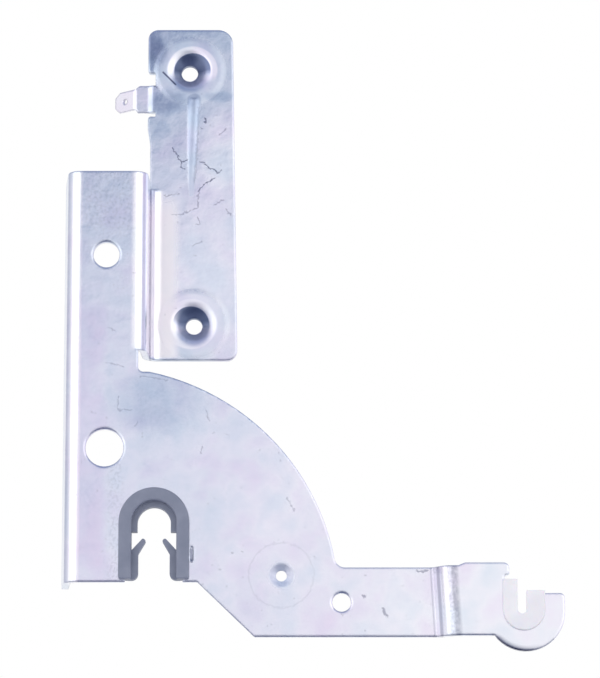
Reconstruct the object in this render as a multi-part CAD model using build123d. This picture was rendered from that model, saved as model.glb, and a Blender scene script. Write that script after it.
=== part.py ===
"""Left-hand hinge of a built-in dishwasher door, in millimetres.

One folded sheet-steel bracket carries two moulded plastic pieces. The bracket stands upright as it does
inside the door: its channel reaches up the side of the door, its screw plate is fixed to the door's side
wall, and its curved body turns on a pin at the foot of the channel, where a grey snap-in bearing sits in an
open notch. An arm with a joggle ends in a hook, whose white liner takes the balancing cord's end.

X runs to the right along the arm, Z runs up, and +Y runs from the seen face of the sheet to its back.
The origin is on the axis of the hinge pin, in the middle of the sheet's thickness.
"""

from build123d import *

import os
from math import cos, radians, sin, tan

# The sheet, its bends and the rounding that the punch leaves on its seen edges
sheet = 2.0
bend_inside = 2.0
edge_round = 0.3

# The channel: a web with a flange along each side
web_left = -25.1
web_right = -3.8
web_foot = -17.3
web_top = 105.8
left_flange_depth = 17.0
left_flange_splay = 6.0
left_flange_corner = 3.0
right_flange_splay = 2.5
right_flange_slope = 4.0

# The screw plate, set back from the web
plate_setback = 16.0
plate_bend_inside = 3.5
plate_foot = 51.65
plate_top = 153.9
plate_right_foot = 23.9
plate_right_top = 22.2
plate_left_above_tab = -3.35
plate_left_below_tab = -2.55
plate_corner_left = 3.0
plate_corner_right = 4.5
plate_corner_foot = 3.2
bend_top = 103.75

# The pressed screw seats in the plate
seat_spacing = 78.4
seat_lower_x = 10.85
seat_lower_z = 62.65
seat_upper_x = 9.15
seat_foot_r = 10.8
seat_step = 1.6
seat_rise = 0.18
seat_rim_r = 6.6
seat_funnel_angle = 45.0
seat_back = 4.15
seat_hole_r = 2.5
seat_bend = 3.0
seat_rim_bend = 2.5

# The pressed rib below the upper seat
rib_x = 10.5
rib_below_seat = 8.7
rib_length = 31.1
rib_width = 3.4
rib_height = 0.5
rib_lean = 2.0

# The earth tab on the plate's left edge, coined thinner than the sheet
tab_below_top = 21.65
tab_height = 8.4
tab_sheet = 0.8
tab_root_x = -2.05
tab_coin_run = 1.2
tab_bend_x = -7.2
tab_angle = 41.0
tab_bend = 0.8
tab_blade_width = 6.3
tab_blade_length = 8.0
tab_hole_r = 0.8
tab_hole_from_tip = 4.1
tab_tip_chamfer = 1.3
tab_shoulder_chamfer = 1.3
tab_notch_x = -1.1
tab_notch_above = 3.8
tab_notch_below = 1.3
tab_notch_round = 1.0
tab_heel_length = 4.0
tab_heel_taper = 5.0

# The relief notch between the right flange and the curved body
relief_x = -5.05
relief_foot = 45.0
relief_corner = 1.6

# The curved body
body_x = -16.4
body_z = -23.7
body_r = 70.25
body_fillet = 3.0
body_foot_x = 12.6
body_corner = 0.8

# The arm
arm_top = -13.1
arm_foot = -33.4
arm_foot_x = 29.3

# The joggle that brings the hook towards the front, with bend lines that lean a little
joggle_offset = 5.0
joggle_angle = 52.0
joggle_x = 81.9
joggle_lean = 3.3
joggle_crease_inside = 1.0
joggle_crest_inside = 3.0

# The hook
hook_foot = -33.6
hook_top = -12.4
hook_dip = 0.8
hook_dip_x = 88.4
hook_dip_run = 1.9
hook_shoulder_x = 103.1
hook_shoulder_r = 1.6
hook_nick_z = -15.4
hook_nick_drop = 0.9
hook_x = 107.8
hook_z = -26.85
hook_r = 11.3
hook_lip = -21.35
hook_lip_r = 1.4
slot_x = 107.25
slot_z = -26.1
slot_r = 5.55

# Round holes: radius, then the place along X and Z
upper_hole = (3.85, -14.65, 80.35)
lower_hole = (5.55, -14.7, 22.35)
arm_hole = (2.7, 54.6, -23.3)
sunk_hole = (1.6, 37.1, -15.4)
sunk_head_r = 3.4
sunk_slope = 0.9
hole_round = 0.6
rolled_holes = (upper_hole, lower_hole, arm_hole)

# The notch for the bearing, and the stake mark beside it
notch_r = 8.4
stake_length = 4.0
stake_width = 0.9
stake_depth = 0.4
stake_z = -9.0
stake_gap = 0.25

# The pivot bearing, a clip with a flange on each face of the sheet
clip_gap = 0.05
clip_foot = -16.6
clip_flange_r = 10.3
clip_front_flange = 1.8
clip_back_flange = 1.4
clip_opening_r = 6.55
clip_seat_thickness = 2.6
clip_leg_corner = 0.7
clip_edge = 0.45
bore_r = 4.87
bore_foot = -2.5
block_x = 4.6
block_round = 1.9
finger_root_z = -7.9
finger_crook_z = -9.0
finger_tip = (2.75, -4.7)
finger_thickness = 1.25

# The hook liner, with a flange on each face of the hook
liner_gap = 0.05
liner_flange_r = 6.1
liner_flange = 1.0
liner_slot_r = 1.3
liner_slot_x = 106.7
liner_slot_z = -26.1
liner_left_top = -17.3
liner_right_top = -20.6
liner_edge = 0.4

half_sheet = sheet / 2
web_middle = (web_left + web_right) / 2
plate_front = plate_setback - half_sheet
tab_middle = plate_top - tab_below_top
tab_foot = tab_middle - tab_height / 2
tab_top = tab_middle + tab_height / 2
plate_corner_x = web_right + plate_setback * tan(radians(right_flange_splay))
plate_bend_end = plate_corner_x + half_sheet + plate_bend_inside
seat_upper_z = seat_lower_z + (seat_spacing**2 - (seat_lower_x - seat_upper_x) ** 2) ** 0.5
rib_top = seat_upper_z - rib_below_seat
hook_front = -joggle_offset - half_sheet
hook_back = -joggle_offset + half_sheet
arm_splice = (body_r + body_x + joggle_x) / 2


def folded_section(corners, middle_radii, thickness):
    """The section of a folded sheet, from the corners of its middle line and the radius at each bend."""
    points = [Vector(*corner) for corner in corners]
    runs = [(after - before).normalized() for before, after in zip(points, points[1:])]
    normals = [run.rotate(Axis.Z, 90) for run in runs]
    faces = []
    for reach in (thickness / 2, -thickness / 2):
        line = [points[0] + normals[0] * reach]
        radii = []
        for index, middle_radius in enumerate(middle_radii):
            before, after = normals[index], normals[index + 1]
            line.append(points[index + 1] + (before + after) * (reach / (1 + before.dot(after))))
            turns_left = runs[index].cross(runs[index + 1]).Z > 0
            radii.append(middle_radius - reach if turns_left else middle_radius + reach)
        line.append(points[-1] + normals[-1] * reach)
        faces.append(FilletPolyline(*line, radius=radii))
    first, second = faces
    start = Line(first @ 0, second @ 0)
    end = Line(first @ 1, second @ 1)
    return make_face([*first.edges(), end, *second.edges(), start])


def front_prism(face, front, back):
    """A face drawn in X and Z, made solid between two depths."""
    return extrude(Plane.XZ.offset(-back) * face, back - front)


def upright_prism(face, foot, top):
    """A face drawn in X and Y, made solid between two heights."""
    return extrude(Pos(0, 0, foot) * face, top - foot)


def side_prism(face, left, right):
    """A face drawn in Y and Z, made solid between two places along X."""
    return extrude(Plane.YZ.offset(left) * face, right - left)


def polygon(*points):
    """A face with straight sides."""
    return make_face(Polyline(*points, close=True))


def block(left, right, foot, top):
    """A rectangle between two sides and two heights."""
    return polygon((left, foot), (right, foot), (right, top), (left, top))


def rounded(face, radius, *places):
    """The face with its corner nearest to each place rounded."""
    corners = [face.vertices().sort_by_distance((x, z, 0))[0] for x, z in places]
    return fillet(corners, radius)


def arch(radius, foot):
    """An upright arch about the origin: a round head on straight legs down to the foot."""
    return Circle(radius) + block(-radius, radius, foot, 0)


def cup(radius, left_top, right_top):
    """A round-bottomed U about the origin, filled, whose sides end at two heights."""
    bottom = Circle(radius) & block(-radius, radius, -radius, 0)
    return bottom + block(-radius, 0, 0, left_top) + block(0, radius, 0, right_top)


def channel():
    """The web between its two flanges, and the bend from the right flange into the screw plate."""
    web_bend = bend_inside + half_sheet
    reach = left_flange_depth + sheet
    left_tip = (web_left - reach * tan(radians(left_flange_splay)), reach)
    left_half = folded_section([left_tip, (web_left, 0), (web_middle, 0)], [web_bend], sheet)
    side = block(-sheet, left_flange_depth, web_foot, web_top)
    side = rounded(
        side, left_flange_corner, (left_flange_depth, web_foot), (left_flange_depth, web_top)
    )
    left = upright_prism(left_half, web_foot, web_top)
    left &= side_prism(side, left_tip[0] - sheet, web_middle)

    plate_bend = plate_bend_inside + half_sheet
    bent_line = [(web_middle, 0), (web_right, 0), (plate_corner_x, plate_setback)]
    bent = folded_section([*bent_line, (plate_bend_end, plate_setback)], [web_bend, plate_bend], sheet)
    right = upright_prism(bent, plate_foot, bend_top)

    head_line = [(web_middle, 0), (web_right, 0), (plate_corner_x, plate_setback)]
    head = upright_prism(folded_section(head_line, [web_bend], sheet), bend_top, web_top)
    slope = polygon(
        (-sheet, bend_top),
        (plate_front, bend_top),
        (plate_front - right_flange_slope, web_top),
        (-sheet, web_top),
    )
    head &= side_prism(slope, web_middle, plate_bend_end)
    lower_seat = Pos(seat_lower_x, plate_setback, seat_lower_z)
    pressed = lower_seat * Rot(90, 0, 0) * Cylinder(seat_foot_r, 2 * sheet)
    return left + right + head - pressed


def plate_outline():
    """The flat of the screw plate, notched above and below the root of the earth tab."""
    heel = tab_foot - tab_notch_below
    outline = polygon(
        (plate_bend_end, plate_foot),
        (plate_right_foot, plate_foot),
        (plate_right_top, plate_top),
        (plate_left_above_tab, plate_top),
        (plate_left_above_tab, tab_top + tab_notch_above),
        (tab_notch_x, tab_top + tab_notch_above),
        (tab_notch_x, tab_top),
        (tab_root_x, tab_top),
        (tab_root_x, tab_foot),
        (tab_notch_x, tab_foot),
        (tab_notch_x, heel),
        (plate_left_above_tab, heel),
        (plate_left_above_tab, heel - tab_heel_length),
        (plate_left_below_tab, heel - tab_heel_length - tab_heel_taper),
        (plate_left_below_tab, bend_top),
        (plate_bend_end, bend_top),
    )
    outline = rounded(outline, plate_corner_left, (plate_left_above_tab, plate_top))
    outline = rounded(outline, plate_corner_right, (plate_right_top, plate_top))
    outline = rounded(outline, plate_corner_foot, (plate_right_foot, plate_foot))
    ends = [(plate_left_above_tab, tab_top + tab_notch_above), (plate_left_above_tab, heel)]
    return rounded(outline, tab_notch_round, *ends)


def seen_edges(solid, depth):
    """The sharp edges of a solid that lie at one depth behind the front."""
    edges = solid.edges().filter_by_position(Axis.Y, depth - 1e-4, depth + 1e-4)
    sharp = []
    for edge in edges:
        middle = edge.position_at(0.5)
        sides = [face for face in solid.faces() if any(edge.is_same(other) for other in face.edges())]
        normals = [face.normal_at(middle) for face in sides]
        if len(normals) == 2 and normals[0].get_angle(normals[1]) > 20:
            sharp.append(edge)
    return ShapeList(sharp)


def plate():
    """The screw plate with its two pressed seats and its rib."""
    outline = plate_outline()
    solid = front_prism(outline, plate_front, plate_front + sheet)
    free = [edge for edge in seen_edges(solid, plate_front) if edge.center().X > plate_bend_end + sheet]
    solid = fillet(free, edge_round)
    beside_bend = block(plate_corner_x, plate_bend_end, plate_foot, bend_top)
    limit = outline + (Pos(seat_lower_x, seat_lower_z) * Circle(seat_foot_r) & beside_bend)
    for x, z in ((seat_upper_x, seat_upper_z), (seat_lower_x, seat_lower_z)):
        place = Pos(x, plate_setback, z)
        solid -= place * Rot(90, 0, 0) * Cylinder(seat_foot_r + half_sheet, 2 * sheet)
        solid += (place * screw_seat()) & front_prism(limit, 0, 2 * plate_setback)
    run = block(-plate_top, plate_top, rib_top - rib_length, rib_top)
    solid += rib(0) & front_prism(run, plate_front - sheet, plate_setback)
    return solid - (rib(sheet) & front_prism(run, plate_setback, plate_setback + 2 * sheet))


def earth_tab():
    """The spade tab: coined to its own thickness at the root, then bent back."""
    run = tab_blade_length * cos(radians(tab_angle))
    tip = (tab_bend_x - run, plate_setback + tab_blade_length * sin(radians(tab_angle)))
    line = [(tab_root_x, plate_setback), (tab_bend_x, plate_setback), tip]
    blade = folded_section(line, [tab_bend + tab_sheet / 2], tab_sheet)
    coined_x = tab_root_x - tab_coin_run
    half_tab = tab_sheet / 2
    coin = polygon(
        (tab_notch_x, plate_setback - half_sheet),
        (tab_root_x, plate_setback - half_sheet),
        (coined_x, plate_setback - half_tab),
        (coined_x, plate_setback + half_tab),
        (tab_root_x, plate_setback + half_sheet),
        (tab_notch_x, plate_setback + half_sheet),
    )
    solid = upright_prism(blade, tab_foot, tab_top) + upright_prism(coin, tab_foot, tab_top)

    blade_foot = tab_middle - tab_blade_width / 2
    blade_top = tab_middle + tab_blade_width / 2
    tip_x = tip[0] - tab_sheet
    outline = polygon(
        (tab_notch_x, tab_foot),
        (tab_bend_x + tab_sheet, tab_foot),
        (tab_bend_x, blade_foot),
        (tip[0] + tab_tip_chamfer, blade_foot),
        (tip_x, blade_foot + tab_tip_chamfer + tab_sheet),
        (tip_x, blade_top - tab_tip_chamfer - tab_sheet),
        (tip[0] + tab_tip_chamfer, blade_top),
        (tab_bend_x, blade_top),
        (tab_bend_x + tab_shoulder_chamfer, tab_top),
        (tab_notch_x, tab_top),
    )
    solid &= front_prism(outline, 0, plate_setback + tab_blade_length)
    hole_run = (tab_blade_length - tab_hole_from_tip) / tab_blade_length
    hole_x = tab_bend_x + (tip[0] - tab_bend_x) * hole_run
    hole_y = plate_setback + (tip[1] - plate_setback) * hole_run
    hole = Rot(90, 0, 0) * Cylinder(tab_hole_r, 4 * tab_sheet)
    return solid - Pos(hole_x, hole_y, tab_middle) * Rot(0, 0, -tab_angle) * hole


def screw_seat():
    """A pressed seat about the Y axis: a low disc, and in it a funnel that reaches behind the plate."""
    angle = radians(seat_funnel_angle)
    rim_r = seat_rim_r - half_sheet * tan(angle / 2)
    line = [
        (seat_foot_r + half_sheet, 0),
        (seat_foot_r, 0),
        (seat_foot_r - seat_step, -seat_rise),
        (rim_r, -seat_rise),
        (half_sheet, -seat_rise + (rim_r - half_sheet) * tan(angle)),
    ]
    disc = revolve(folded_section(line, [seat_bend, seat_bend, seat_rim_bend], sheet), Axis.Y)
    behind = Rot(90, 0, 0) * Cylinder(seat_foot_r, 4 * sheet)
    disc -= Pos(0, seat_back + 2 * sheet, 0) * behind
    return disc - Rot(90, 0, 0) * Cylinder(seat_hole_r, 4 * seat_foot_r)


def rib(depth):
    """The bar whose near side forms the rib: it sinks into the plate towards its foot."""
    radius = (rib_width**2 / 4 + rib_height**2) / (2 * rib_height)
    fade = Vector(rib_length, 0, 0).get_angle(Vector(rib_length, rib_height, 0))
    bar = Pos(0, radius, -rib_length / 2) * Cylinder(radius, rib_length + 2 * sheet)
    crest = Pos(rib_x, plate_front - rib_height + depth, rib_top)
    return crest * Rot(0, rib_lean, 0) * Rot(fade, 0, 0) * bar


def body_outline():
    """The curved body and the arm seen from the front, with the web down to its foot."""
    head = block(web_middle, relief_x + relief_corner, 0, plate_foot)
    disc = Pos(body_x, body_z) * Circle(body_r)
    arm = block(body_foot_x, arm_splice + sheet, arm_foot, arm_top)
    limit = polygon(
        (web_middle, web_foot),
        (body_foot_x, web_foot),
        (arm_foot_x, arm_foot),
        (arm_splice + sheet, arm_foot),
        (arm_splice + sheet, web_top),
        (web_middle, web_top),
    )
    relief = block(relief_x, relief_x + 4 * sheet, relief_foot, web_top)
    relief = rounded(relief, relief_corner, (relief_x, relief_foot))
    outline = ((disc + arm) & limit) + head - relief
    inner_x = body_x + (body_r**2 - (arm_top - body_z) ** 2) ** 0.5
    outline = rounded(outline, body_fillet, (inner_x, arm_top))
    return rounded(outline, body_corner, (body_foot_x, web_foot), (arm_foot_x, arm_foot))


def hook_outline():
    """The end of the arm with the hook and its slot, seen from the front."""
    joggle_end = joggle_x + joggle_offset / tan(radians(joggle_angle))
    arm = polygon(
        (arm_splice, arm_foot),
        (joggle_x, arm_foot),
        (joggle_end, hook_foot),
        (hook_shoulder_x, hook_foot),
        (hook_shoulder_x, hook_top),
        (hook_dip_x + hook_dip_run, hook_top),
        (hook_dip_x, hook_top - hook_dip),
        (joggle_end, hook_top - hook_dip),
        (joggle_x, arm_top),
        (arm_splice, arm_top),
    )
    arm = rounded(arm, hook_shoulder_r, (hook_shoulder_x, hook_top))
    end = block(hook_x, hook_x + hook_r, hook_z, hook_lip)
    end = rounded(end, hook_lip_r, (hook_x + hook_r, hook_lip))
    below = block(0, hook_x + 2 * hook_r, hook_z - 2 * hook_r, hook_z)
    disc = Pos(hook_x, hook_z) * Circle(hook_r) & below
    slot_top = hook_nick_z - hook_nick_drop
    slot = Pos(slot_x, slot_z) * cup(slot_r, slot_top - slot_z, slot_top - slot_z)
    nick = polygon(
        (slot_x - slot_r, slot_top),
        (hook_shoulder_x + half_sheet, hook_nick_z),
        (hook_shoulder_x + half_sheet, slot_top),
    )
    return arm + disc + end - slot - nick


def joggled_arm():
    """The end of the arm, stepped forward at the joggle and cut to the outline of the hook."""
    step = joggle_offset / tan(radians(joggle_angle))
    far = hook_x + 2 * hook_r
    line = [(0, 0), (joggle_x, 0), (joggle_x + step, -joggle_offset), (far, -joggle_offset)]
    bends = [joggle_crease_inside + half_sheet, joggle_crest_inside + half_sheet]
    middle = (arm_top + arm_foot) / 2
    strip = upright_prism(folded_section(line, bends, sheet), -4 * hook_r, 4 * hook_r)
    strip = Pos(joggle_x, 0, middle) * Rot(0, -joggle_lean, 0) * Pos(-joggle_x, 0, 0) * strip
    return strip & front_prism(hook_outline(), 2 * hook_front, sheet)


def round_hole(size, front, back):
    """A round hole through the sheet, from its radius and its place along X and Z."""
    radius, x, z = size
    return front_prism(Pos(x, z) * Circle(radius), front, back)


def sunk_head(size):
    """The cone for a small countersunk screw head, open to the front."""
    radius, x, z = size
    depth = (sunk_head_r - radius) * sunk_slope
    cone = Cone(radius, sunk_head_r, depth)
    return Pos(x, -half_sheet + depth / 2, z) * Rot(90, 0, 0) * cone


def stake_mark():
    """The short dent that was punched beside the bearing to lock it."""
    x = clip_flange_r + stake_gap + stake_width / 2
    dent = SlotCenterToCenter(stake_length - stake_width, stake_width, rotation=90)
    return front_prism(Pos(x, stake_z) * dent, -half_sheet, -half_sheet + stake_depth)


def hinge_bracket():
    """The whole folded blank."""
    flat = front_prism(body_outline(), -half_sheet, half_sheet)
    solid = plate() + channel() + earth_tab() + flat + joggled_arm()
    for size in (upper_hole, lower_hole, arm_hole, sunk_hole):
        solid -= round_hole(size, -sheet, sheet)
    solid -= sunk_head(sunk_hole)
    solid -= front_prism(arch(notch_r, 2 * web_foot), -sheet, sheet)
    solid -= stake_mark()
    rims = solid.edges().filter_by(GeomType.CIRCLE).filter_by_position(Axis.Y, -half_sheet, -half_sheet)
    rims = [rim for rim in rims if any(abs(rim.radius - hole[0]) < 1e-6 for hole in rolled_holes)]
    solid = fillet(rims, hole_round)
    free = seen_edges(solid, -half_sheet) + seen_edges(solid, hook_front)
    return fillet([edge for edge in free if abs(edge.center().Z - plate_foot) > edge_round], edge_round)


def snap_finger():
    """The right-hand finger and the block that it grows from, drawn in X and Z."""
    tip_x, tip_z = finger_tip
    run = Vector(tip_x - clip_opening_r, tip_z - finger_root_z).normalized()
    across = run.rotate(Axis.Z, 90) * (finger_thickness / 2)
    end = Vector(tip_x, tip_z)
    outer = end - across
    inner = end + across
    face = polygon(
        (clip_opening_r + half_sheet, clip_foot),
        (clip_opening_r + half_sheet, finger_root_z),
        (clip_opening_r, finger_root_z),
        (outer.X, outer.Y),
        (inner.X, inner.Y),
        (block_x, finger_crook_z),
        (block_x, clip_foot),
    )
    face = rounded(face, finger_thickness * 0.45, (outer.X, outer.Y), (inner.X, inner.Y))
    return rounded(face, block_round, (block_x, clip_foot))


def pivot_bearing():
    """The moulded clip: two flanges that hold the sheet between them, and the seat of the pin."""
    front = -half_sheet - clip_gap - clip_front_flange
    back = half_sheet + clip_gap + clip_back_flange
    opening = arch(clip_opening_r, 2 * web_foot)
    flange = arch(clip_flange_r, clip_foot) - opening
    corners = flange.vertices().group_by(Axis.Y)[0]
    flange = fillet(corners, clip_leg_corner)
    neck = arch(notch_r - clip_gap, clip_foot) - opening
    near = front_prism(flange, front, -half_sheet - clip_gap)
    near = fillet(near.faces().sort_by(Axis.Y)[0].edges(), clip_edge)
    far = front_prism(flange, half_sheet + clip_gap, back)
    far = fillet(far.faces().sort_by(Axis.Y)[-1].outer_wire().edges(), clip_edge)
    solid = near + far + front_prism(neck, -half_sheet - clip_gap, half_sheet + clip_gap)

    ring = Circle(notch_r - clip_gap) & block(-notch_r, notch_r, bore_foot, notch_r)
    seat = ring - arch(bore_r, 2 * bore_foot) + snap_finger() + mirror(snap_finger(), Plane.YZ)
    return solid + front_prism(seat, back - clip_seat_thickness, back)


def hook_liner():
    """The grooved liner pressed into the slot of the hook."""
    front = hook_front - liner_gap - liner_flange
    back = hook_back + liner_gap + liner_flange
    left_top = liner_left_top - slot_z
    right_top = liner_right_top - slot_z
    passage = Pos(liner_slot_x, liner_slot_z) * cup(liner_slot_r, slot_r * 2, slot_r * 2)
    flange = Pos(slot_x, slot_z) * cup(liner_flange_r, left_top, right_top) - passage
    neck = Pos(slot_x, slot_z) * cup(slot_r - liner_gap, left_top, right_top) - passage
    near = front_prism(flange, front, hook_front - liner_gap)
    near = fillet(near.faces().sort_by(Axis.Y)[0].edges(), liner_edge)
    far = front_prism(flange, hook_back + liner_gap, back)
    far = fillet(far.faces().sort_by(Axis.Y)[-1].edges(), liner_edge)
    return near + far + front_prism(neck, hook_front - liner_gap, hook_back + liner_gap)


os.makedirs("parts", exist_ok=True)
pieces = {
    "hinge_bracket": hinge_bracket(),
    "pivot_bearing": pivot_bearing(),
    "hook_liner": hook_liner(),
}
for name, piece in pieces.items():
    export_step(piece, f"parts/{name}.step")
    print(name, len(piece.solids()), round(piece.volume, 1), piece.is_valid)
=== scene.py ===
# %% [markdown]
# # A dishwasher door hinge
#
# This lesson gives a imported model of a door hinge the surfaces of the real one. The hinge is one blank
# of sheet steel, punched, folded and zinc plated, with a grey moulded bearing in its foot and a white
# moulded liner in its hook. The model already has the folds, the pressed seats and the rounded edges, so
# most of the work here is in the finishes, the marks of wear and the light that shows them.

# %% Load the hinge
from math import radians

import bpy
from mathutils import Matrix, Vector


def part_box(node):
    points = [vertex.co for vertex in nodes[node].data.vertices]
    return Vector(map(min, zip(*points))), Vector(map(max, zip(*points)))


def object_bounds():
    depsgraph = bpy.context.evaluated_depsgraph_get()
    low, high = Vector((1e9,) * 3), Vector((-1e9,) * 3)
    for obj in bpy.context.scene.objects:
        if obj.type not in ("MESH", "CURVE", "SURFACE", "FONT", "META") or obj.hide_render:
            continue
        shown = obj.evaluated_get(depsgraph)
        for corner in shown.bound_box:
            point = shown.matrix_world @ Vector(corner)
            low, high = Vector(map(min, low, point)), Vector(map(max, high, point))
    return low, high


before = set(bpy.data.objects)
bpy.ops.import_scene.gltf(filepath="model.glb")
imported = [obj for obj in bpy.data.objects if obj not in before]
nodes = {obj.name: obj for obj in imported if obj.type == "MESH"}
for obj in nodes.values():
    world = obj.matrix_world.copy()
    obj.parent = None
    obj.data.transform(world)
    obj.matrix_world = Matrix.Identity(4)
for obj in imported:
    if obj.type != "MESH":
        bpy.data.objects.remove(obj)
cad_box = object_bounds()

MM = 0.001
for name, node in nodes.items():
    low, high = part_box(name)
    size = [round((top - foot) / MM, 1) for foot, top in zip(low, high)]
    print(name, "measures", size, "mm")

# %% [markdown]
# ## Two small helpers
#
# Colours are easiest to read as the hex values of a paint chart, but the renderer works with linear
# light, so one function turns the first into the second. A finish is a net of nodes, and a second
# function adds one node with its settings, its numbers and its links, so that a net reads from top to
# bottom like a recipe. It gives back one output of the new node, ready to be linked to the next.


# %% Colour and node helpers
def colour(hex_code):
    """The linear colour of an sRGB hex value."""
    parts = [int(hex_code[start : start + 2], 16) / 255 for start in (1, 3, 5)]
    linear = [part / 12.92 if part <= 0.04045 else ((part + 0.055) / 1.055) ** 2.4 for part in parts]
    return (*linear, 1.0)


def add(tree, kind, *values, output=0, stops=(), **settings):
    """A new node with its settings and inputs, of which one output is given back.

    The inputs come in their order, or by name in a dictionary, and each is linked or set. A colour ramp
    also takes its stops, which are pairs of a place and a hex value.
    """
    node = tree.nodes.new("ShaderNode" + kind)
    for name, value in settings.items():
        setattr(node, name, value)
    named = bool(values) and isinstance(values[0], dict)
    inputs = values[0] if named else dict(enumerate(values))
    for key, value in inputs.items():
        if isinstance(value, bpy.types.NodeSocket):
            tree.links.new(value, node.inputs[key])
        else:
            node.inputs[key].default_value = value
    if stops:
        elements = node.color_ramp.elements
        elements[0].position = stops[0][0]
        elements[1].position = stops[-1][0]
        for place, _ in stops[1:-1]:
            elements.new(place)
        for element, (_, hex_code) in zip(elements, stops):
            element.color = colour(hex_code)
    return node.outputs[output] if len(node.outputs) else node


def new_material(name):
    """An empty material, with its node tree and its surface."""
    material = bpy.data.materials.new(name)
    material.use_nodes = True
    return material, material.node_tree, material.node_tree.nodes["Principled BSDF"]


print("white becomes", colour("#ffffff")[:3])

# %% [markdown]
# ## Masks
#
# The plating differs from place to place. A mask says where: it is one inside a zone, nothing outside
# it, and fades softly over the border, because neither a stain nor a fold has a hard edge. Masks
# could be painted on an image, but then the finish would not stand on its own. Here they are sums on the
# object's own coordinates, with places and radii in millimetres as seen from the front.


# %% Zones with soft borders
def seen_from_front(tree, place):
    """The place with its depth taken away, so that a mark is drawn as from the front."""
    return add(tree, "VectorMath", place, (1, 0, 1), operation="MULTIPLY")


def on_sheet(spot):
    """A spot given as X and Z in millimetres, as a place in metres."""
    x, z = spot
    return (x * MM, 0, z * MM)


def fade(tree, value, start, end):
    """One where the value is at start or beyond, and nothing at end, with a soft step between them."""
    inputs = {"Value": value, "From Min": end, "From Max": start}
    return add(tree, "MapRange", inputs, interpolation_type="SMOOTHSTEP")


def strip(tree, value, middle, half, soft):
    """One within half a width of a middle line, fading out over a soft border; millimetres."""
    beside = add(tree, "Math", value, middle * MM, operation="SUBTRACT")
    away = add(tree, "Math", beside, operation="ABSOLUTE")
    return fade(tree, away, half * MM, (half + soft) * MM)


def round_zone(tree, flat_place, centre, inner, outer):
    """One within the inner radius about a centre, and nothing beyond the outer one; millimetres."""
    centre = on_sheet(centre)
    away = add(tree, "VectorMath", flat_place, centre, operation="DISTANCE", output="Value")
    return fade(tree, away, inner * MM, outer * MM)


def stain(tree, flat_place, centre, radii):
    """One in the middle of an oval stain and nothing at its rim; millimetres."""
    across, up = radii
    shifted = add(tree, "VectorMath", flat_place, on_sheet(centre), operation="SUBTRACT")
    scaled = add(tree, "VectorMath", shifted, (across * MM, 1, up * MM), operation="DIVIDE")
    away = add(tree, "VectorMath", scaled, operation="LENGTH", output="Value")
    return fade(tree, away, 0.35, 1.0)


def shared(tree, *masks):
    """One only where every mask is one."""
    product = masks[0]
    for mask in masks[1:]:
        product = add(tree, "Math", product, mask, operation="MULTIPLY")
    return product


def strongest(tree, *masks):
    """The highest of several masks."""
    highest = masks[0]
    for mask in masks[1:]:
        highest = add(tree, "Math", highest, mask, operation="MAXIMUM")
    return highest


def lift(tree, tone, zones):
    """A tone, raised in each zone by that zone's gain."""
    for zone, gain in zones:
        tone = add(tree, "Math", zone, gain, tone, operation="MULTIPLY_ADD")
    return tone


helpers = (fade, strip, round_zone, stain, shared, strongest, lift)
print("helpers for masks:", [helper.__name__ for helper in helpers])

# %% [markdown]
# ## Scratches by place
#
# The real plate is scored by a few jagged hair cracks in the plating, and the arm by two short gouges.
# Each mark is a short chain of points. The shader measures how far a spot lies from each run of the
# chain and darkens what is close. The coordinates are shaken by a fine noise first, which makes a
# straight run ragged.


# %% Distance to chains of points
def distance_to_chains(tree, flat_place, chains):
    """How far a spot is from the nearest of some chains of (X, Z) points in millimetres, in metres."""
    nearest = None
    for chain in chains:
        spots = [Vector(on_sheet(point)) for point in chain]
        for start, end in zip(spots, spots[1:]):
            run = end - start
            unit = run / run.length_squared
            from_start = add(tree, "VectorMath", flat_place, start, operation="SUBTRACT")
            along = add(tree, "VectorMath", from_start, unit, operation="DOT_PRODUCT", output="Value")
            along = add(tree, "Math", along, 1.0, operation="MULTIPLY", use_clamp=True)
            foot = add(tree, "VectorMath", {0: run, "Scale": along}, operation="SCALE")
            away = add(tree, "VectorMath", from_start, foot, operation="DISTANCE", output="Value")
            nearest = away if nearest is None else add(tree, "Math", nearest, away, operation="MINIMUM")
    return nearest


def marks(tree, flat_place, chains, width):
    """One on the chains and nothing beside them; each chain is as wide as given, in millimetres."""
    away = distance_to_chains(tree, flat_place, chains)
    return fade(tree, away, width * MM * 0.25, width * MM * 0.5)


# Hair cracks in the plating of the screw plate
PLATE_CRACKS = [
    [(4.3, 116.9), (6.0, 113.9), (6.8, 112.7), (6.9, 111.1), (8.0, 110.4)],
    [(6.8, 112.7), (8.5, 113.0)],
    [(12.6, 112.7), (13.6, 112.3), (15.1, 110.7), (16.8, 110.3), (17.7, 109.3), (18.9, 110.1)],
    [(16.9, 107.5), (14.5, 106.1), (12.5, 104.4), (12.0, 103.3)],
    [(13.8, 126.3), (14.4, 125.4), (13.9, 125.0)],
    [(-1.3, 136.3), (-0.8, 135.7)],
]
FAINT_CRACKS = [
    [(12.0, 103.3), (11.8, 98.5), (6.3, 96.2), (4.1, 96.5)],
    [(1.7, 102.1), (6.3, 102.8)],
    [(20.3, 98.0), (21.7, 95.9)],
    [(16.9, 99.5), (19.6, 100.9)],
    [(11.6, 95.7), (12.5, 93.8), (11.4, 92.9)],
    [(10.5, 86.7), (13.3, 88.1)],
    [(20.1, 122.8), (18.4, 121.2)],
    [(12.6, 123.2), (12.8, 122.9)],
]
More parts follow.
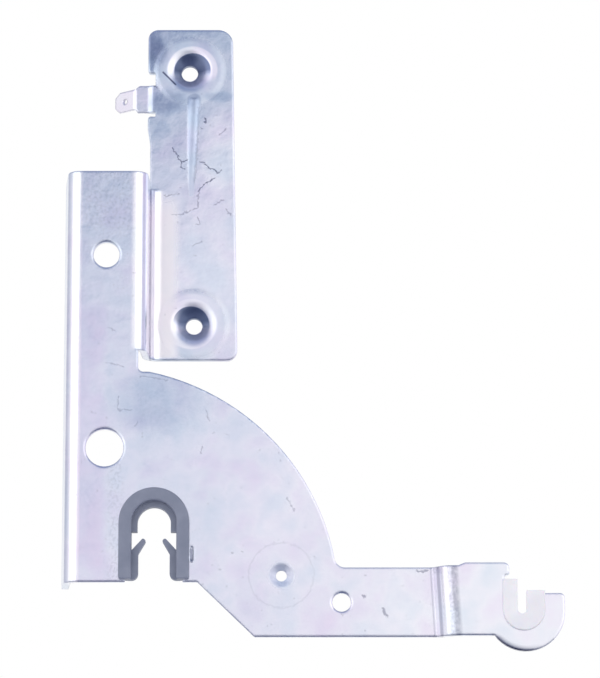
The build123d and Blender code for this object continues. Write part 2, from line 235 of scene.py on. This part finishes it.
# Short marks on the channel, the curved body and the arm
BODY_MARKS = [
    [(-14.5, 47.8), (-12.4, 47.2), (-9.5, 46.5)],
    [(-4.4, 43.7), (-1.5, 43.4), (3.5, 42.3)],
    [(-13.9, 58.0), (-11.9, 57.3)],
    [(-10.8, 37.4), (-11.0, 33.5), (-6.7, 33.5)],
    [(-5.6, 28.7), (-4.9, 30.1)],
    [(-18.6, 32.9), (-18.2, 32.9)],
    [(14.0, 22.8), (13.5, 20.5)],
    [(15.0, 33.3), (15.9, 30.2)],
    [(38.7, 7.6), (40.8, 3.5)],
    [(61.4, -15.6), (61.9, -15.5)],
    [(61.4, -31.6), (61.8, -31.8)],
]
ARM_GOUGES = [
    [(66.5, -25.2), (67.0, -26.3), (67.8, -27.3)],
    [(67.0, -26.2), (67.4, -27.0)],
    [(60.7, -21.4), (61.2, -21.8)],
    [(76.5, -14.2), (78.2, -14.4), (79.7, -14.0)],
]
# The dent beside the bearing, the score by the upper seat, and a line of painted shade along the rib's
# side
STAKE_MARKS = [[(10.8, -7.9), (11.0, -11.4)]]
SEAT_SCORE = [[(1.2, 140.5), (2.6, 139.1), (4.9, 136.8)]]
RIB_SIDE_SHADE = [[(12.0, 129.5), (11.5, 115.5), (10.7, 106.5)]]
print("marks on the plate:", len(PLATE_CRACKS + FAINT_CRACKS + SEAT_SCORE + RIB_SIDE_SHADE))
print("marks on the body and the arm:", len(BODY_MARKS + ARM_GOUGES + STAKE_MARKS))

# %% [markdown]
# ## Where the press worked
#
# The blank was folded and pressed after it was cut. At the folds, the rib and the two screw seats the
# sheet was stretched, and it is duller there than on the flats. These functions say where such places
# are, so that the gloss and the colour can use the same ones; in the colour they carry painted
# highlights and painted shade.

# %% The pressed places
SEATS = ((10.0, 141.04), (10.0, 62.64))
SMALL_SEAT = (37.1, -15.4)
HOOK = (107.8, -26.85)
RIB = [(10.6, 131.8), (9.9, 102.5)]
# The rib's half width in millimetres at Z 0, as if it reached there, and its growth per millimetre up
RIB_HALF_WIDTH = -3.84
RIB_TAPER = 0.042
JOGGLE_LEAN = 0.0577
ARM_MIDDLE = -24


def joggle_place(tree, axes):
    """How far along the arm a spot is, measured at right angles to the joggle, which leans a little."""
    height = add(tree, "Math", axes["Z"], ARM_MIDDLE * MM, operation="SUBTRACT")
    return add(tree, "Math", height, JOGGLE_LEAN, axes["X"], operation="MULTIPLY_ADD")


def heel(tree, axes):
    """One on the fold between the flange and the screw plate, fading out over the plate."""
    beside = strip(tree, axes["X"], 1.6, 1.6, 4.2)
    below_top = fade(tree, axes["Z"], 95 * MM, 104.5 * MM)
    above_foot = fade(tree, axes["Z"], 53 * MM, 52 * MM)
    return shared(tree, beside, below_top, above_foot)


def rib_zone(tree, flat_place):
    """One on the pressed rib, which tapers downwards, and nothing beside it."""
    height = add(tree, "SeparateXYZ", flat_place, output="Z")
    half_width = add(tree, "Math", height, RIB_TAPER, RIB_HALF_WIDTH * MM, operation="MULTIPLY_ADD")
    from_middle = distance_to_chains(tree, flat_place, [RIB])
    outside = add(tree, "Math", from_middle, half_width, operation="SUBTRACT")
    return fade(tree, outside, 0.0, 0.7 * MM)


print("screw seats at", SEATS, "and a small one at", SMALL_SEAT)

# %% [markdown]
# ## The tone of the zinc
#
# The bracket is mild steel sheet with electroplated zinc and a clear blue passivation: a satin, faintly
# lilac-blue metal. It could be a flat metal colour, but the real one is cloudy. The tone is darker and
# bluer at the top of the screw plate and paler towards the hook. So the tone starts from the place on
# the part, and clouds of noise in three sizes and a few stains move it up and down.

# %% Clouds and stains
TONE_AT_PIN = 0.64
TONE_PER_METRE_ALONG = 4.0
TONE_PER_METRE_UP = -1.5
DARKER_ABOVE = 85
# Each stain has a centre, its two radii and how much it darkens; a negative one is a paler spot
STAINS = (
    ((-1.5, 147.5), (5.5, 8.0), 0.34),
    ((10.0, 155.0), (14.0, 4.5), 0.12),
    ((2.5, 131.0), (8.0, 5.5), 0.27),
    ((2.0, 108.0), (7.0, 14.0), -0.14),
    ((1.0, 123.0), (3.5, 4.5), 0.14),
    ((18.0, 133.0), (5.5, 2.2), 0.2),
    ((18.0, 116.0), (8.0, 17.0), -0.38),
    ((13.0, 84.0), (16.0, 32.0), -0.2),
    ((-10.5, 91.0), (6.0, 11.0), 0.03),
    ((2.0, 37.0), (22.0, 14.0), 0.17),
    ((-10.5, 132.0), (8.0, 9.0), -0.6),
)
BROAD_CLOUDS = {"Scale": 1 / (22 * MM), "Detail": 2.0}
MIDDLE_CLOUDS = {"Scale": 1 / (6 * MM), "Detail": 4.0, "Roughness": 0.6, "Distortion": 0.6}
FINE_CLOUDS = {"Scale": 1 / (0.9 * MM), "Detail": 3.0, "Roughness": 0.7}


def cloudy_tone(tree, place, flat_place, axes):
    """How pale the plating is, from 0 at the dark top of the plate to 1 at the hook."""
    along = add(tree, "Math", axes["X"], TONE_PER_METRE_ALONG, operation="MULTIPLY")
    tone = add(tree, "Math", along, TONE_AT_PIN, operation="ADD")
    height = add(tree, "Math", axes["Z"], DARKER_ABOVE * MM, operation="SUBTRACT")
    height = strongest(tree, height, 0.0)
    tone = lift(tree, tone, [(height, TONE_PER_METRE_UP)])
    broad = add(tree, "TexNoise", {"Vector": place, **BROAD_CLOUDS})
    middle = add(tree, "TexNoise", {"Vector": place, **MIDDLE_CLOUDS})
    fine = add(tree, "TexNoise", {"Vector": place, **FINE_CLOUDS})
    for cloud, strength in ((broad, 0.34), (middle, 0.26), (fine, 0.12)):
        tone = add(tree, "Math", cloud, strength, tone, operation="MULTIPLY_ADD")
        tone = add(tree, "Math", tone, strength / 2, operation="SUBTRACT")

    # The outlines of the stains are pushed to and fro by the same clouds
    push = middle.node.outputs["Color"]
    shaken = add(tree, "VectorMath", push, on_sheet((4, 4)), flat_place, operation="MULTIPLY_ADD")
    shaken = add(tree, "VectorMath", shaken, on_sheet((2, 2)), operation="SUBTRACT")
    zones = [(stain(tree, shaken, centre, radii), -darker) for centre, radii, darker in STAINS]
    return lift(tree, tone, zones)


print("stains:", len(STAINS))

# %% [markdown]
# ## The tone of the folds and the seats
#
# The folds, the heel of the screw plate and the slope of the joggle are painted paler than the flats
# beside them: painted highlights. Each seat gets a painted bright ring, a painted highlight, where the
# sheet bends into the funnel, and the rib is painted a little darker, as painted shade. The funnel's
# upper wall faces down, away from the light, and looks almost navy on the real part, so it gets painted
# shade as well.

# %% Folds and seats
# Radii in millimetres, within which a zone is whole and beyond which it is gone
SEAT_DISC = (10.0, 12.0)
SEAT_RING = (6.9, 7.9)
SEAT_FUNNEL = (5.3, 5.9)
# Where the bright ring, a painted highlight, starts to fade out, above the middle of the upper and of
# the lower seat
RING_FEET = (1.0, -6.0)
RING_FADE = 5
WALL_FADE = 3


def painted_light_on_folds_and_seats(tree, tone, flat_place, axes):
    """The tone, with painted highlights on the folds, the joggle's slope and the seats' rings, painted
    shade on the rib and on the funnels' upper walls, and small changes at the seats.
    """
    # Painted highlights on the folds, the heel and the slope of the joggle
    right_fold = strip(tree, axes["X"], -5.3, 1.3, 1.0)
    right_fold = shared(tree, right_fold, fade(tree, axes["Z"], 54 * MM, 51 * MM))
    left_fold = strip(tree, axes["X"], -23.5, 1.1, 0.9)
    web = fade(tree, axes["X"], -7 * MM, -4 * MM)
    slope_highlight = strip(tree, joggle_place(tree, axes), 84.3, 0.9, 0.5)
    folds = [(left_fold, 0.4), (right_fold, 0.4), (heel(tree, axes), 0.6), (web, 0.07), (slope_highlight, 0.4)]
    # The rib is painted darker, as painted shade
    tone = lift(tree, tone, folds + [(rib_zone(tree, flat_place), -0.2)])
    for centre, ring_foot in zip(SEATS, RING_FEET):
        middle = centre[1] * MM
        foot = middle + ring_foot * MM
        disc = round_zone(tree, flat_place, centre, *SEAT_DISC)
        within_ring = round_zone(tree, flat_place, centre, *SEAT_RING)
        beyond_funnel = round_zone(tree, flat_place, centre, *reversed(SEAT_FUNNEL))
        over_foot = fade(tree, axes["Z"], foot, foot - RING_FADE * MM)
        # A painted highlight on the ring, and painted shade on the funnel's upper wall
        ring = shared(tree, within_ring, beyond_funnel, over_foot)
        funnel = round_zone(tree, flat_place, centre, *SEAT_FUNNEL)
        upper_half = fade(tree, axes["Z"], middle + WALL_FADE * MM, middle - WALL_FADE * MM)
        upper_wall_shade = shared(tree, funnel, upper_half)
        tone = lift(tree, tone, [(disc, -0.05), (ring, 0.9), (funnel, 0.3), (upper_wall_shade, -1.3)])
    return lift(tree, tone, [(round_zone(tree, flat_place, SMALL_SEAT, 3.4, 4.2), 0.3)])


print("ring feet:", RING_FEET, "mm from the middle of the seats")

# %% [markdown]
# ## Wear and painted shade
#
# Wear is where the plating is scored through, pitted or dull. Painted shade joins it: dark lines in the
# joggle, in the corner by the flange and along the rib, a mottled blue crest on the joggle and a dark
# lower rim on the hook. Every kind of mark gets a mask of its own and a strength, and the strongest one
# at a spot decides how dark it is. The cracks and the scores lie only on the faces that are seen from
# the front, so the back stays clean.


# %% Masks of wear and painted shade
SPECKLED_FROM = 82


def scores_and_rib_shade(tree, flat_place, axes):
    """Masks and strengths of all that was scored or pressed into the plating, and of painted shade along
    the rib.
    """
    shaking = {"Scale": 1 / (1.3 * MM), "Detail": 4.0, "Roughness": 0.7}
    shake = add(tree, "TexNoise", {"Vector": flat_place, **shaking}, output="Color")
    ragged = add(tree, "VectorMath", shake, on_sheet((2.6, 2.6)), flat_place, operation="MULTIPLY_ADD")
    ragged = add(tree, "VectorMath", ragged, on_sheet((1.3, 1.3)), operation="SUBTRACT")
    body_face = fade(tree, axes["Y"], -0.4 * MM, 0.2 * MM)
    plate_face = fade(tree, axes["Y"], 15.8 * MM, 16.3 * MM)
    small_seat = on_sheet(SMALL_SEAT)
    from_seat = add(tree, "VectorMath", ragged, small_seat, operation="DISTANCE", output="Value")
    return [
        (marks(tree, flat_place, STAKE_MARKS, 1.1), 0.6),
        (shared(tree, marks(tree, ragged, PLATE_CRACKS, 0.5), plate_face), 0.75),
        (shared(tree, marks(tree, ragged, FAINT_CRACKS, 0.42), plate_face), 0.4),
        (shared(tree, marks(tree, ragged, BODY_MARKS, 0.45), body_face), 0.3),
        (shared(tree, marks(tree, ragged, ARM_GOUGES, 0.9), body_face), 0.5),
        (shared(tree, marks(tree, flat_place, SEAT_SCORE, 0.7), plate_face), 0.9),
        # Painted shade along the side of the rib
        (marks(tree, ragged, RIB_SIDE_SHADE, 0.9), 0.22),
        (strip(tree, from_seat, 9.5, 0.1, 0.25), 0.09),
    ]


def pits_specks_and_shade(tree, place, flat_place, axes):
    """Masks and strengths of pits and specks, and of painted shade on the joggle, in the corner and on
    the hook's rim.
    """
    grit_size = {"Scale": 1 / (1.6 * MM), "Detail": 5.0, "Roughness": 0.75}
    grit = add(tree, "TexNoise", {"Vector": place, **grit_size})
    pits = fade(tree, grit, 0.31, 0.36)

    # Painted shade on the joggle: dark lines in its hollow and a mottled blue crest
    along_arm = joggle_place(tree, axes)
    arm_only = fade(tree, axes["Z"], -8 * MM, -4 * MM)
    mottled = add(tree, "Math", fade(tree, grit, 0.36, 0.64), 0.5, 0.5, operation="MULTIPLY_ADD")
    crest_shade = shared(tree, strip(tree, along_arm, 87.0, 0.9, 1.4), mottled, arm_only)
    first_line = strip(tree, along_arm, 81.2, 0.15, 0.35)
    second_line = strip(tree, along_arm, 83.1, 0.2, 0.5)
    hollow_shade = shared(tree, strongest(tree, first_line, second_line), arm_only)

    # Painted shade: a dark line in the corner between the screw plate and the flange
    beside_flange = fade(tree, axes["Y"], 12 * MM, 10 * MM)
    below_top = fade(tree, axes["Z"], 104 * MM, 104.5 * MM)
    corner = shared(tree, strip(tree, axes["X"], -2.1, 0.15, 0.35), beside_flange, below_top)

    # Fine specks lie beside the bearing and at the top of the web
    speck_size = {"Scale": 1 / (0.8 * MM), "Detail": 3.0, "Roughness": 0.6}
    specks = fade(tree, add(tree, "TexNoise", {"Vector": place, **speck_size}), 0.42, 0.5)
    bearing_side = strip(tree, axes["X"], -11.3, 1.0, 2.4)
    bearing_side = shared(tree, bearing_side, fade(tree, axes["Z"], 14 * MM, 26 * MM))
    web_top = fade(tree, axes["Z"], (SPECKLED_FROM + 10) * MM, SPECKLED_FROM * MM)
    under_tab = fade(tree, axes["Z"], 113 * MM, 114 * MM)
    upper_web = shared(tree, strip(tree, axes["X"], -13.5, 6.0, 3.0), web_top, under_tab)
    speckle = shared(tree, strongest(tree, bearing_side, upper_web), specks)

    # The lower left rim of the hook rolled over when it was punched; its darkening is painted shade
    from_hook = add(tree, "VectorMath", flat_place, on_sheet(HOOK), operation="SUBTRACT")
    down_left = (-0.6, 0, -0.8)
    lower_left = add(tree, "VectorMath", from_hook, down_left, operation="DOT_PRODUCT", output="Value")
    hook_rim_shade = shared(
        tree,
        round_zone(tree, flat_place, HOOK, 11.5, 9.4),
        round_zone(tree, flat_place, HOOK, 11.8, 12.2),
        fade(tree, lower_left, 10.5 * MM, 4.0 * MM),
        fade(tree, axes["Z"], -34.6 * MM, -32.8 * MM),
    )
    return [(pits, 0.25), (crest_shade, 0.5), (hollow_shade, 0.45), (corner, 0.5), (speckle, 0.1), (hook_rim_shade, 0.95)]


print("the upper web is speckled from", SPECKLED_FROM, "mm up")

# %% [markdown]
# ## The finish of the bracket
#
# The blank was rolled, handled and tumbled before plating, so besides its colour the surface has soft
# dents a few millimetres wide and a fine grain like orange peel. Both go into a bump. The bevel node
# rounds the punched edges a little more than the model does, so that they catch the light.

# %% Zinc-plated steel
ZINC_RAMP = [
    (0.0, "#77849f"),
    (0.25, "#a3afc6"),
    (0.45, "#c9d2e2"),
    (0.62, "#e0e4ee"),
    (0.8, "#ecebf4"),
    (1.0, "#f6f5fa"),
]
CAST_RAMP = [(0.1, "#f9eefb"), (0.3, "#f8f3fd"), (0.5, "#fafbff"), (0.7, "#eef5fb")]
# The cream of the painted highlight on the heel
HEEL_HIGHLIGHT_COLOUR = "#fdf5f5"
# The dark colour of wear, also used for painted shade
WEAR_AND_SHADE_COLOUR = "#555a7a"


def plating_colour(tree, place, flat_place, axes):
    """The colour of the plating before any wear."""
    tone = cloudy_tone(tree, place, flat_place, axes)
    tone = painted_light_on_folds_and_seats(tree, tone, flat_place, axes)
    plating = add(tree, "ValToRGB", tone, stops=ZINC_RAMP)

    # The faint pink and green cast of the passivation comes from its thickness
    film = add(tree, "TexNoise", {"Vector": place, "Scale": 1 / (11 * MM), "Detail": 2.0})
    low_web = strip(tree, axes["X"], -19, 2.5, 3.5)
    low_web = shared(tree, low_web, fade(tree, axes["Z"], 50 * MM, 85 * MM))
    film = lift(tree, film, [(low_web, -0.25)])
    cast = add(tree, "ValToRGB", film, stops=CAST_RAMP)
    tinted = {0: 1.0, 6: plating, 7: cast}
    plating = add(tree, "Mix", tinted, output=2, data_type="RGBA", blend_type="MULTIPLY")
    # A painted highlight, in cream, on the fold between the flange and the screw plate
    heel_highlight_amount = add(tree, "Math", heel(tree, axes), 0.6, operation="MULTIPLY")
    return add(tree, "Mix", {0: heel_highlight_amount, 6: plating, 7: colour(HEEL_HIGHLIGHT_COLOUR)}, output=2, data_type="RGBA")


def zinc_plated_steel():
    """Mild steel sheet, zinc plated and blue passivated."""
    material, tree, surface = new_material("zinc plated steel")
    place = add(tree, "TexCoord", output="Object")
    flat_place = seen_from_front(tree, place)
    axes = add(tree, "SeparateXYZ", place).node.outputs
    plating = plating_colour(tree, place, flat_place, axes)
    wear_and_shade = scores_and_rib_shade(tree, flat_place, axes) + pits_specks_and_shade(tree, place, flat_place, axes)
    # Wear and painted shade darken the plating towards one dark colour
    wear_and_shade_amount = strongest(tree, *[shared(tree, mask, strength) for mask, strength in wear_and_shade])
    worn_and_shaded = add(tree, "Mix", {0: wear_and_shade_amount, 6: plating, 7: colour(WEAR_AND_SHADE_COLOUR)}, output=2, data_type="RGBA")

    # Soft dents from handling, and a grain like orange peel
    dents = add(tree, "TexNoise", {"Vector": place, "Scale": 1 / (4.5 * MM), "Detail": 2.0})
    peel = add(tree, "TexNoise", {"Vector": place, "Scale": 1 / (0.7 * MM), "Detail": 2.0})
    relief = add(tree, "Math", dents, 0.055, operation="MULTIPLY")
    relief = lift(tree, relief, [(peel, 0.008)])
    rolled = add(tree, "Bevel", {"Radius": 0.9 * MM}, samples=4)
    bump = add(tree, "Bump", {"Height": relief, "Strength": 1.0, "Distance": MM, "Normal": rolled})

    # Where the press stretched the sheet, at the seats and the rib, the plating is duller
    around_seats = [round_zone(tree, flat_place, centre, 8.0, 12.5) for centre in SEATS]
    pressed = strongest(tree, rib_zone(tree, flat_place), heel(tree, axes), *around_seats)
    small_seat = round_zone(tree, flat_place, SMALL_SEAT, 3.4, 4.4)
    satin = add(tree, "Math", peel, 0.12, 0.12, operation="MULTIPLY_ADD")
    satin = lift(tree, satin, [(pressed, 0.2), (small_seat, 0.5)])
    tree.links.new(worn_and_shaded, surface.inputs["Base Color"])
    tree.links.new(satin, surface.inputs["Roughness"])
    tree.links.new(bump, surface.inputs["Normal"])
    surface.inputs["Metallic"].default_value = 1.0
    return material


zinc = zinc_plated_steel()
print(zinc.name, "has", len(zinc.node_tree.nodes), "nodes")

# %% [markdown]
# ## The finish of the bearing
#
# The bearing is moulded polyoxymethylene, coloured grey-blue all through. A moulding of this plastic is
# matt with a soft sheen, and its skin carries the fine spark texture of the mould. A plain colour with a
# little cloud and a very fine bump is enough; the moulded shape does the rest.


# %% Moulded grey plastic
def grey_moulded_plastic():
    """Grey-blue acetal, moulded."""
    material, tree, surface = new_material("grey moulded acetal")
    place = add(tree, "TexCoord", output="Object")
    cloud = add(tree, "TexNoise", {"Vector": place, "Scale": 1 / (5 * MM), "Detail": 3.0})
    grey = add(tree, "ValToRGB", cloud, stops=[(0.25, "#7b8295"), (0.5, "#82889b"), (0.75, "#8a90a2")])
    spark = add(tree, "TexNoise", {"Vector": place, "Scale": 1 / (0.25 * MM), "Detail": 2.0})
    bump = add(tree, "Bump", {"Height": spark, "Strength": 0.15, "Distance": 0.03 * MM})
    tree.links.new(grey, surface.inputs["Base Color"])
    tree.links.new(bump, surface.inputs["Normal"])
    surface.inputs["Roughness"].default_value = 0.45
    return material


acetal = grey_moulded_plastic()
print(acetal.name, "has", len(acetal.node_tree.nodes), "nodes")

# %% [markdown]
# ## The finish of the liner
#
# The liner is unpigmented polyamide, which is milky: light goes a little way in and comes out again. A
# small amount of subsurface scattering over a white ground gives that soft look on its thin edges. Then
# each piece gets its finish in every slot that it has.


# %% Moulded milky plastic
def milky_moulded_plastic():
    """Natural polyamide, moulded."""
    material, tree, surface = new_material("milky moulded polyamide")
    place = add(tree, "TexCoord", output="Object")
    cloud = add(tree, "TexNoise", {"Vector": place, "Scale": 1 / (6 * MM), "Detail": 2.0})
    milk = add(tree, "ValToRGB", cloud, stops=[(0.3, "#f0eff4"), (0.7, "#f8f7fa")])
    tree.links.new(milk, surface.inputs["Base Color"])
    surface.inputs["Roughness"].default_value = 0.35
    surface.inputs["Subsurface Weight"].default_value = 0.15
    surface.inputs["Subsurface Scale"].default_value = 1.0 * MM
    return material


finishes = {"hinge_bracket": zinc, "pivot_bearing": acetal, "hook_liner": milky_moulded_plastic()}
for name, material in finishes.items():
    for slot in nodes[name].material_slots:
        slot.material = material
    print(name, "is finished in", material.name)

# %% [markdown]
# ## The floor and the background
#
# The hinge is held by its screw plate, so it hangs in the air and the floor lies well below it. The
# camera looks slightly up at the part, which is why the floor is low and wide. Both the floor and the
# backdrop are plain and pale. The world is white for the camera, for reflections and through glass. For
# the light that falls on matt surfaces it is a soft grey sky, brightest at the horizon, so pale plastics
# keep their colour and the part throws its shadow on the floor.

# %% Floor and world
FLOOR_Z = -320 * MM
FLOOR_SIZE = 40
SKY_RAMP = [(0.0, "#c6c7cf"), (0.5, "#f8f8fb"), (0.75, "#dcdce2"), (1.0, "#c6c7cf")]

bpy.ops.object.select_all(action="DESELECT")
bpy.ops.mesh.primitive_plane_add(size=FLOOR_SIZE, location=(0, 0, FLOOR_Z))
floor = bpy.context.object
floor.name = "studio_floor"
floor_paint, _, floor_surface = new_material("pale studio floor")
floor_surface.inputs["Base Color"].default_value = colour("#f4f4f6")
floor_surface.inputs["Roughness"].default_value = 0.9
floor.data.materials.append(floor_paint)
bpy.ops.object.transform_apply(location=True, rotation=True, scale=True)
floor.visible_glossy = False

world = bpy.data.worlds.new("soft studio")
bpy.context.scene.world = world
world.use_nodes = True
sky = world.node_tree
sky.nodes.clear()
direction = add(sky, "TexCoord", output="Generated")
upward = add(sky, "SeparateXYZ", direction, output="Z")
upward = add(sky, "Math", upward, 0.5, 0.5, operation="MULTIPLY_ADD")
shade = add(sky, "ValToRGB", upward, stops=SKY_RAMP)
rays = add(sky, "LightPath").node.outputs
studio = add(sky, "Background", {"Color": shade, "Strength": 1.0})
backdrop = add(sky, "Background", {"Color": (1, 1, 1, 1), "Strength": 1.0})
seen = strongest(sky, rays["Is Camera Ray"], rays["Is Transmission Ray"], rays["Is Glossy Ray"])
mix = add(sky, "MixShader", seen, studio, backdrop)
add(sky, "OutputWorld", {"Surface": mix})
print("floor at", round(FLOOR_Z / MM), "mm")

# %% [markdown]
# ## Cards for the metal to reflect
#
# Polished metal in a pure white room looks like white paper. A photographer stands grey and coloured
# cards round it, so that each face shows the card that it points at. The flats point at the camera, so a
# tall card stands behind the camera, darker towards its upper left. A slate-blue card lies below, where
# the undersides of the edges and the upper walls of the funnels look. It is kept small and not too dark,
# because it also shows in the flats when the part is seen from the side or from above. A blue-grey card
# hangs above, and pale ones stand left and right. The cards only show in reflections: the camera looks
# past them, and they throw no shadow.


# %% Reflection cards
def card(name, middle, turn, size, across, stops):
    """A card in millimetres, turned in degrees, whose colours run along a direction in the room."""
    bpy.ops.mesh.primitive_plane_add(size=1)
    piece = bpy.context.object
    piece.name = name
    piece.location = Vector(middle) * MM
    piece.rotation_euler = [radians(angle) for angle in turn]
    piece.scale = (size[0] * MM, size[1] * MM, 1)
    bpy.ops.object.transform_apply(location=True, rotation=True, scale=True)
    material, tree, surface = new_material(name)
    place = add(tree, "TexCoord", output="Object")
    run = add(tree, "VectorMath", place, across, operation="DOT_PRODUCT", output="Value")
    first, last = stops[0][0], stops[-1][0]
    factor = add(tree, "MapRange", {"Value": run, "From Min": first, "From Max": last})
    shares = [((spot - first) / (last - first), hex_code) for spot, hex_code in stops]
    paint = add(tree, "ValToRGB", factor, stops=shares)
    surface.inputs["Base Color"].default_value = (0, 0, 0, 1)
    surface.inputs["Specular IOR Level"].default_value = 0.0
    surface.inputs["Emission Strength"].default_value = 1.0
    tree.links.new(paint, surface.inputs["Emission Color"])
    piece.data.materials.append(material)
    piece.visible_camera = False
    piece.visible_diffuse = False
    piece.visible_shadow = False
    piece.visible_transmission = False


FRONT_STOPS = [
    (0.05, "#ffffff"),
    (0.14, "#fefdff"),
    (0.39, "#fdfbff"),
    (0.5, "#f7f6fc"),
    (0.61, "#f8f7fe"),
    (0.69, "#f6f8ff"),
    (0.72, "#e2e7f1"),
    (0.75, "#bac6dc"),
    (0.79, "#a5b1ca"),
    (0.9, "#8c99b8"),
]
UNDER_STOPS = [(-0.75, "#1d2750"), (-0.5, "#4d5778"), (-0.25, "#b9bdd0")]
SLATE_STOPS = [(0, "#5c6788"), (1, "#5c6788")]
ABOVE_STOPS = [(0, "#9aa8c8"), (1, "#9aa8c8")]
RIGHT_STOPS = [(-0.1, "#cfcde4"), (1.4, "#f6f2fc")]
LEFT_STOPS = [(-0.2, "#fcfbfd"), (0.1, "#f2f0f4"), (0.8, "#d4d2dc")]
FACING, FLAT, SIDEWAYS = (90, 0, 0), (0, 0, 0), (0, 90, 0)
card("card behind the camera", (-110, -2000, 1150), FACING, (420, 2500), (-1, 0, 1), FRONT_STOPS)
card("dark card under the camera", (0, -2000, -700), FACING, (900, 1200), (0, 0, 1), UNDER_STOPS)
card("blue card below", (70, -20, -310), FLAT, (860, 860), (1, 0, 0), SLATE_STOPS)
card("grey card above", (40, 0, 1000), FLAT, (2400, 2400), (1, 0, 0), ABOVE_STOPS)
card("lilac card at the right", (900, 700, 60), SIDEWAYS, (1600, 1800), (0, 1, 0), RIGHT_STOPS)
card("grey card at the left", (-900, 700, 60), SIDEWAYS, (1600, 1800), (0, 1, 0), LEFT_STOPS)

# %% [markdown]
# ## The lamps
#
# Metal shows its lamps. Two wide soft lamps stand in front of the part, left and right of the camera, so
# the folds of the channel and the joggle carry the long white bands of the real one. A small soft lamp
# above gives the plastics their top light and doesn't show in the metal. Their level is low, so that a
# colour renders about as it is written.


# %% Soft lamps
def soft_lamp(name, place, target, width, height, watts):
    """A rectangular area lamp that faces the target."""
    lamp = bpy.data.lights.new(name, "AREA")
    lamp.shape = "RECTANGLE"
    lamp.size = width
    lamp.size_y = height
    lamp.energy = watts
    holder = bpy.data.objects.new(name, lamp)
    bpy.context.scene.collection.objects.link(holder)
    holder.location = place
    holder.rotation_euler = (target - place).to_track_quat("-Z", "Y").to_euler()
    print(name, "gives", watts, "watts")
    return holder


PANEL_WATTS = 2.6
PANEL_WIDTH = 1.4
PANEL_HEIGHT = 1.05
TOP_WATTS = 1.5
TOP_SIZE = 0.5
low, high = cad_box
centre = (low + high) / 2
for name, side in (("panel left", -0.98), ("panel right", 0.98)):
    panel_place = centre + Vector((side, -1.0, 0.25))
    soft_lamp(name, panel_place, centre, PANEL_WIDTH, PANEL_HEIGHT, PANEL_WATTS)
top = soft_lamp("lamp above", centre + Vector((-0.2, 0.2, 0.9)), centre, TOP_SIZE, TOP_SIZE, TOP_WATTS)
top.visible_glossy = False

# %% [markdown]
# ## The camera
#
# The photograph was taken from a little below the middle of the part with a long lens, so the undersides
# of the edges show and the depth is flat. The camera stands 1.2 metres off and looks 12 degrees upwards.

# %% Camera
CAMERA_DISTANCE = 1200 * MM
CAMERA_RISE = 12
LENS = 216.64
SENSOR_WIDTH = 36
aim = Vector((42.53, -1.0, 54.754)) * MM
eye = bpy.data.cameras.new("camera")
eye.sensor_width = SENSOR_WIDTH
eye.lens = LENS
camera = bpy.data.objects.new("camera", eye)
bpy.context.scene.collection.objects.link(camera)
camera.rotation_euler = (radians(90 + CAMERA_RISE), 0, 0)
looking = camera.rotation_euler.to_matrix() @ Vector((0, 0, -1))
camera.location = aim - looking * CAMERA_DISTANCE
bpy.context.scene.camera = camera
bpy.context.scene.view_settings.view_transform = "Standard"
print("camera at", [round(value / MM) for value in camera.location])
